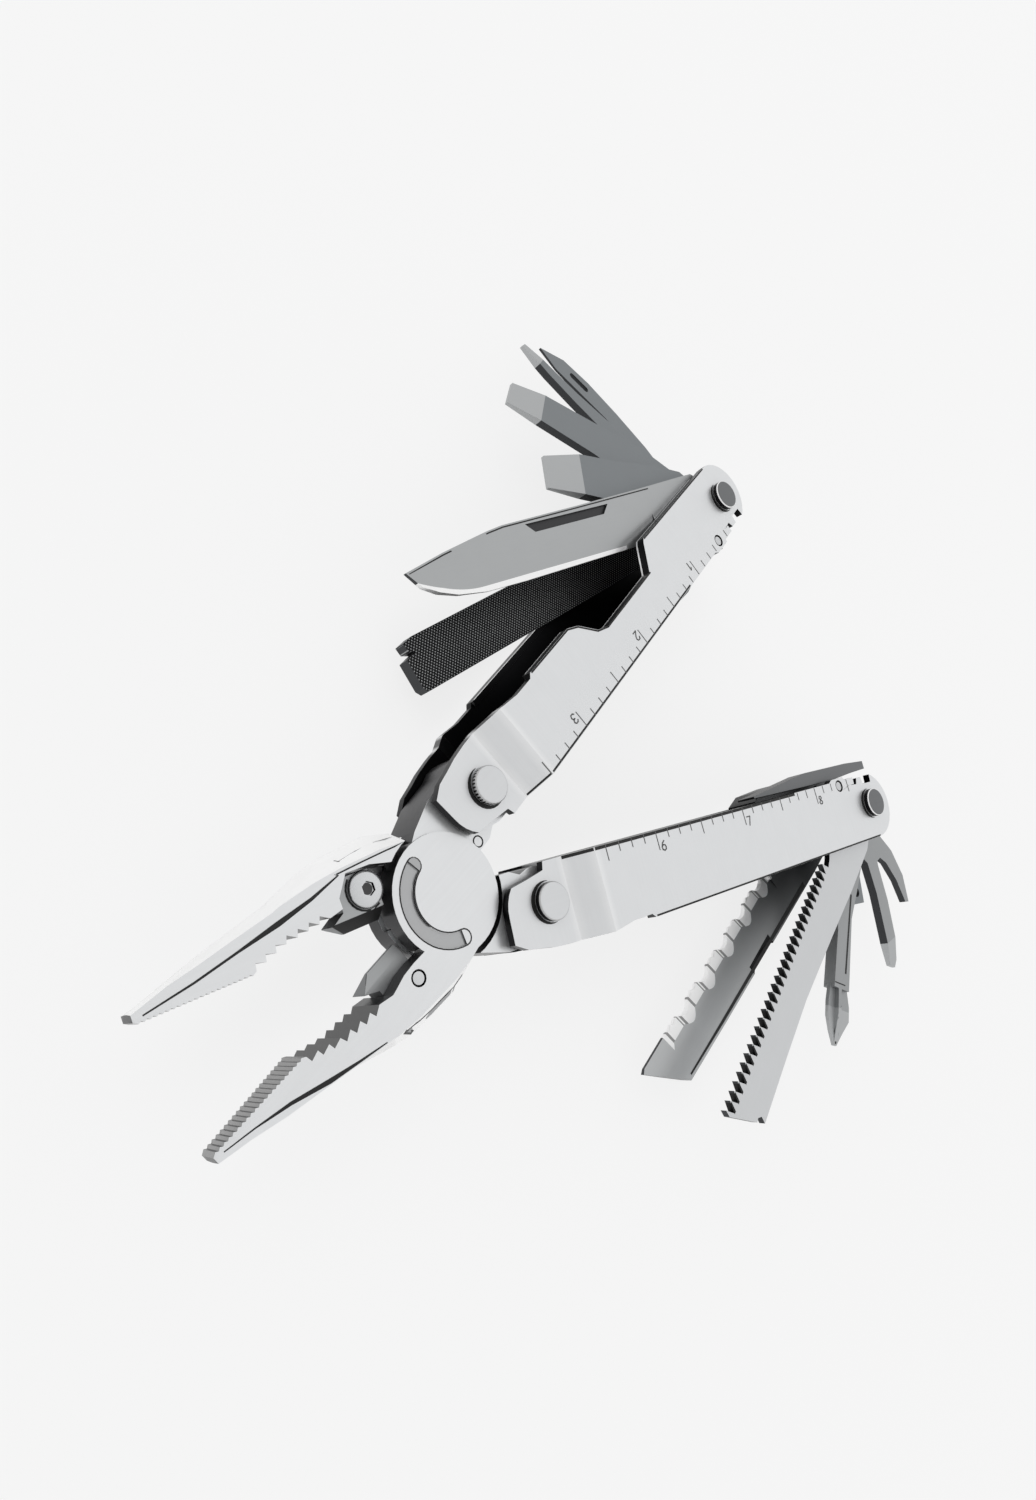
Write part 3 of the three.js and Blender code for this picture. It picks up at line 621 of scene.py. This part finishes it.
# Painted shade lines.
shade_lines = steel("painted_shade_lines", FRAMES["front_jaw"], SHADE_LINE, SHADE_LINE, 0.5, metallic=0.3)
shoulder = steel("shoulder_steel", FRAMES["rear_jaw"], SHOULDER, SHOULDER, 0.4, (0.4, 3.0, 3.0), mottle=0.3)
arc_steel = steel("arc_floor_steel", FRAMES["front_jaw"], ARC_FLOOR, ARC_FLOOR, 0.45)
SIDES = (1, "upper"), (-1, "lower")
ARC = 102, 250  # degrees
ARC_RADIUS = 7.05
ARC_HALF_WIDTH = 1.27
JAW_LINES = {
    "front": ([(-46, -0.95), (-41.6, -1.9), (-36.5, -3.3), (-31.1, -5.3), (-26.4, -6.7), (-22, -7.9)],
              [0.15, 0.2, 0.5, 0.7, 0.35, 0.15]),
    "rear": ([(-46, -0.9), (-39.1, -2.2), (-32.9, -3.7), (-26.6, -5.2), (-21.1, -6.7), (-16.2, -8.5)],
             [0.2, 0.3, 0.35, 0.8, 0.5, 0.2]),
}
SHOULDERS = {
    "front": [((-18.8, -9.3), (-17.2, -11)), ((-13, -10.7), (-13, -11.8)), ((-8, -11.1), (-8, -12.1)),
              ((-4.4, -10.6), (-4.4, -11.2))],
    "rear": [((-16.4, -8.7), (-15, -10.3)), ((-12, -9.1), (-11.5, -10.9)), ((-8, -9.4), (-8, -11.2)),
             ((-4.4, -9.6), (-4.4, -11))],
}
OPEN_EDGE = 7.42  # line along the handle's open edge
THUMB_CUT = [
    (32.7, 7.4), (35.2, 6.25), (38.6, 2.85), (41.4, 1.85), (60.3, 2.05), (64.2, 6.85), (65.1, OPEN_EDGE),
]
SPINE_LINE = -6.32
SPINE_RUNS = (4.9, 9.1), (9.7, 68)  # up the step to the wide body, then along it
SPINE_WIDTH = {"front": 0.36, "rear": 0.55}


def arc_marks(label):
    """Painted shade outlining the arc cut into the disc, and the floor of its two round ends."""
    node = label + "_jaw"
    matrix = FRAMES[node]
    caps = []
    ends = []
    for angle, turn in ((ARC[0], -180), (ARC[1], 180)):
        at = math.radians(angle)
        middle = ARC_RADIUS * math.cos(at), ARC_RADIUS * math.sin(at)
        rim = ring(*middle, ARC_HALF_WIDTH, angle, angle + turn, 8)
        caps += stroke(rim, 0.2)
        ends.append([(point, middle) for point in (rim if turn < 0 else reversed(rim))])
    outline = stroke(ring(0, 0, ARC_RADIUS + ARC_HALF_WIDTH, *ARC), 0.2)
    outline += stroke(ring(0, 0, ARC_RADIUS - ARC_HALF_WIDTH, *ARC), 0.2) + caps
    lay_on(label + "_arc_ends", node, node, matrix, 1, ends, arc_steel)
    lay_on(label + "_arc_outline", node, node, matrix, 1, outline, shade_lines)


def jaw_marks(label):
    """Painted shade line along each jaw, its ground shoulder edged with painted shade lines, and a painted
    shade ring round the cutter's screw.
    """
    node = label + "_jaw"
    matrix = FRAMES[node]
    band = SHOULDERS[label]
    for side, tag in SIDES:
        lay_on(f"{label}_jaw_line_{tag}", node, node, matrix, side, taper_line(*JAW_LINES[label]), shade_lines)
        lay_on(f"{label}_shoulder_{tag}", node, node, matrix, side, [band], shoulder)
        edge = stroke([inner for inner, _ in band], 0.22) + stroke(band[0], 0.6)
        lay_on(f"{label}_shoulder_line_{tag}", node, node, matrix, side, edge, shade_lines, 0.05)
    screw_ring = stroke(ring(*CUTTER_SCREW, 3.05), 0.3)
    lay_on(label + "_screw_ring", label + "_cutter", node, matrix, -1, screw_ring, shade_lines)


def crescent(x, radius, start, end, widest):
    """Shade round part of a pin's head, widest half-way."""
    steps = 16
    widths = [0.05 + widest * math.sin(math.pi * i / steps) for i in range(steps + 1)]
    return taper_line(ring(x, 0, radius, start, end, steps), widths)


def handle_marks(label):
    """Painted shade beside the two pins, and painted shade lines along the open edge and the spine."""
    handle = label + "_handle"
    matrix = FRAMES[handle]
    for side, tag in SIDES:
        shade = crescent(0, 3.45, 80, 280, 0.75)
        lay_on(f"{label}_pin_shade_{tag}", handle, handle, matrix, side, shade, shade_lines, 0.02)
    for side, tag in SIDES:
        cut = THUMB_CUT if side == 1 else []
        round_end = ring(PIN_SPAN, 0.4, OPEN_EDGE - 0.4, 90, -20, 8)[1:]
        open_edge = [(19.8, OPEN_EDGE), *cut, (PIN_SPAN, OPEN_EDGE), *round_end]
        edges = crescent(PIN_SPAN, 3.3, 90, 270, 0.6) + stroke(open_edge, 0.32)
        for start, end in SPINE_RUNS:
            edges += stroke([(start, SPINE_LINE), (end, SPINE_LINE)], SPINE_WIDTH[label])
        lay_on(f"{label}_edge_lines_{tag}", handle, handle, matrix, side, edges, shade_lines, 0.02)


for label in HALVES:
    arc_marks(label)
    jaw_marks(label)
    handle_marks(label)

# Painted shade lines along the backs of both blades, on the cross driver and in its flute, and a painted
# shade ring on the front jaw's tang.
KNIFE_BACK = [(20, -6.15), (43, -5.6), (63.3, -5.2), (66.9, -4.8), (78, -3.1), (86, -1.5)]
SERRATED_BACK = [(18, -6), (37, -5.5), (60, -4.85), (74.6, -4.3)]
CROSS_FLUTE = [(45.5, 2), (48, 2.1), (51, 2.25), (53.3, 2.4)]
for tool, node_side, lines in (
    ("knife_blade", 1, taper_line(KNIFE_BACK, [0.25, 0.25, 0.25, 0.25, 0.25, 0.15])),
    ("serrated_blade", -1, taper_line(SERRATED_BACK, [1.1, 0.9, 0.7, 0.4])),
    ("cross_screwdriver", -1, taper_line([(20.5, -0.8), (38.5, 0.7)], [0.5, 0.5])
     + stroke([(41, -0.9), (41, 4.2)], 0.25) + taper_line(CROSS_FLUTE, [0.2, 1.3, 1.5, 0.3])),
):
    for side, tag in ((node_side, "near"), (-node_side, "far")):
        lay_on(f"{tool}_lines_{tag}", tool, tool, FRAMES[tool], side, lines, shade_lines, 0.02)
lay_on("front_tang_ring", "front_jaw", "front_jaw", FRAMES["front_jaw"], 1,
       stroke(ring(10.4, 1.8, 0.9, steps=16), 0.22), shade_lines)

# ---------------------------------------------------------------- floor, light and camera

low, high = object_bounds()
centre = (low + high) / 2


def plain(name, colour, glow):
    made = bpy.data.materials.new(name)
    made.use_nodes = True
    shader = made.node_tree.nodes["Principled BSDF"]
    shader.inputs["Base Color"].default_value = (*colour, 1)
    shader.inputs["Roughness"].default_value = 0.9
    shader.inputs["Emission Color"].default_value = (1, 1, 1, 1)
    shader.inputs["Emission Strength"].default_value = glow
    return made


floor_mesh = bpy.data.meshes.new("floor")
reach = 6.0  # metres from the middle to each side
floor_mesh.from_pydata(
    [(x * reach, y * reach, low.z - 0.5 * MM) for x, y in ((-1, -1), (1, -1), (1, 1), (-1, 1))],
    [], [(0, 1, 2, 3)],
)
floor = bpy.data.objects.new("floor", floor_mesh)
bpy.context.scene.collection.objects.link(floor)
floor_mesh.materials.append(plain("floor_paper", (0.09, 0.09, 0.09), 0.8))

world = bpy.data.worlds.new("studio")
bpy.context.scene.world = world
world.use_nodes = True
sky = world.node_tree.nodes
across = sky.new("ShaderNodeSeparateXYZ")
tone = sky.new("ShaderNodeMapRange")
tone.inputs["From Min"].default_value = -1
tone.inputs["To Min"].default_value = 0.7
tone.inputs["To Max"].default_value = 0.95
world.node_tree.links.new(sky.new("ShaderNodeTexCoord").outputs["Generated"], across.inputs[0])
world.node_tree.links.new(across.outputs["X"], tone.inputs["Value"])
world.node_tree.links.new(tone.outputs[0], sky["Background"].inputs["Strength"])
sky["Background"].inputs["Color"].default_value = (1, 1, 1, 1)


def softbox(name, place, size, power):
    lamp = bpy.data.lights.new(name, "AREA")
    lamp.shape = "RECTANGLE"
    lamp.size, lamp.size_y = size
    lamp.energy = power
    made = bpy.data.objects.new(name, lamp)
    made.location = place
    made.rotation_mode = "QUATERNION"
    made.rotation_quaternion = (centre - made.location).to_track_quat("-Z", "Y")
    bpy.context.scene.collection.objects.link(made)
    made.visible_glossy = False


softbox("key", centre + Vector((-0.25, 0.6, 0.55)), (0.7, 0.5), 2.2)
softbox("fill", centre + Vector((-0.45, -0.5, 0.5)), (0.6, 0.6), 1.2)

CAMERA_AT = Vector((-75.5, 25.6, 127.4))
CAMERA_RIGHT = Vector((0.654, -0.456, 0.604))
CAMERA_BACK = Vector((-0.646, 0.079, 0.759))
camera = bpy.data.cameras.new("camera")
camera.sensor_width = 36
camera.lens = 22.3
camera.clip_start = 0.005
viewer = bpy.data.objects.new("camera", camera)
bpy.context.scene.collection.objects.link(viewer)
right = CAMERA_RIGHT.normalized()
back = (CAMERA_BACK - right * CAMERA_BACK.dot(right)).normalized()
viewer.matrix_world = (
    Matrix.Translation(CAMERA_AT * MM)
    @ Matrix((right, back.cross(right), back)).transposed().to_4x4()
)
bpy.context.scene.camera = viewer
bpy.context.scene.view_settings.view_transform = "Standard"
